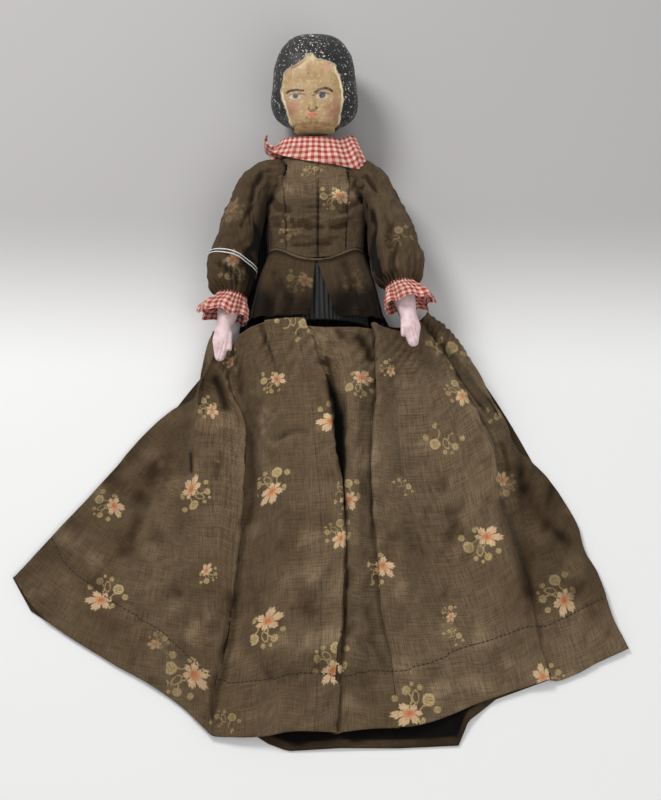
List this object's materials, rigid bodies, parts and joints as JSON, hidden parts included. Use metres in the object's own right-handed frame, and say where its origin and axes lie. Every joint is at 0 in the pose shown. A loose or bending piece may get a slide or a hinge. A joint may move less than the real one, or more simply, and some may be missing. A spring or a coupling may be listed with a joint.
{
  "type": "peg wooden doll",
  "caption": "Carved peg-jointed wooden doll with painted head and hands, in a long printed cotton dress with peplum, full sleeves and gingham collar and cuffs, lying on its back.",
  "frame": {"origin": "middle of the footprint of the lying doll, on the table", "axes": "+Y runs from the skirt's hem towards the head, +Z out of the doll's chest, +X towards the doll's left side"},
  "size_m": [0.2975, 0.3772, 0.0436],
  "materials": {
    "head_paint": "worn oil paint over gesso on wood",
    "bare_wood": "dry, lightly waxed wood",
    "hand_paint": "worn pinkish white paint on wood",
    "leg_paint": "cream paint with a dark slipper",
    "print_cotton": "brown plain-weave cotton with sprigs",
    "gingham": "red and cream checked cotton",
    "black_silk": "black pleated silk",
    "string": "white cotton string"
  },
  "bodies": {
    "torso": {"head_and_torso": "head_paint", "shoulder_peg": "bare_wood", "hip_peg": "bare_wood", "bodice_front_right": "print_cotton", "bodice_front_left": "print_cotton", "bodice_back": "print_cotton", "waist_piping": "print_cotton", "peplum_front_right": "print_cotton", "peplum_front_left": "print_cotton", "peplum_back": "print_cotton", "collar": "gingham", "hip_yoke": "black_silk", "skirt_front_right": "print_cotton", "skirt_front_left": "print_cotton", "skirt_back": "print_cotton"},
    "upper_arm_right": {"upper_arm_right": "bare_wood", "elbow_peg_right": "bare_wood", "sleeve_right": "print_cotton", "tag_string": "string"},
    "forearm_right": {"forearm_right": "hand_paint", "cuff_right": "gingham"},
    "thigh_right": {"thigh_right": "bare_wood", "knee_peg_right": "bare_wood"},
    "lower_leg_right": {"lower_leg_right": "leg_paint"},
    "upper_arm_left": {"upper_arm_left": "bare_wood", "elbow_peg_left": "bare_wood", "sleeve_left": "print_cotton"},
    "forearm_left": {"forearm_left": "hand_paint", "cuff_left": "gingham"},
    "thigh_left": {"thigh_left": "bare_wood", "knee_peg_left": "bare_wood"},
    "lower_leg_left": {"lower_leg_left": "leg_paint"}
  },
  "joints": [
    {"name": "shoulder_right", "type": "hinge", "parent": "torso", "child": "upper_arm_right", "pos_m": [-0.0288, 0.103, 0.0185], "axis": [-1, 0, 0], "range_deg": [0, 180], "deforming": ["sleeve_right"]},
    {"name": "elbow_right", "type": "hinge", "parent": "upper_arm_right", "child": "forearm_right", "pos_m": [-0.03878, 0.05605, 0.0185], "axis": [-0.9781, 0.2079, 0], "range_deg": [0, 90], "deforming": ["tag_string"]},
    {"name": "shoulder_left", "type": "hinge", "parent": "torso", "child": "upper_arm_left", "pos_m": [0.0288, 0.103, 0.0185], "axis": [-1, 0, 0], "range_deg": [-9, 171], "deforming": ["sleeve_left"]},
    {"name": "elbow_left", "type": "hinge", "parent": "upper_arm_left", "child": "forearm_left", "pos_m": [0.03878, 0.05663, 0.02584], "axis": [-0.9781, -0.2054, 0.0325], "range_deg": [0, 90]},
    {"name": "hip_right", "type": "hinge", "parent": "torso", "child": "thigh_right", "pos_m": [-0.0105, 0.005, 0.012], "axis": [-1, 0, 0], "range_deg": [0, 90], "deforming": ["skirt_front_right", "hip_yoke", "skirt_back"]},
    {"name": "knee_right", "type": "hinge", "parent": "thigh_right", "child": "lower_leg_right", "pos_m": [-0.0105, -0.068, 0.012], "axis": [1, 0, 0], "range_deg": [0, 90]},
    {"name": "hip_left", "type": "hinge", "parent": "torso", "child": "thigh_left", "pos_m": [0.0105, 0.005, 0.012], "axis": [-1, 0, 0], "range_deg": [0, 90], "deforming": ["skirt_front_left"]},
    {"name": "knee_left", "type": "hinge", "parent": "thigh_left", "child": "lower_leg_left", "pos_m": [0.0105, -0.068, 0.012], "axis": [1, 0, 0], "range_deg": [0, 90]}
  ]
}
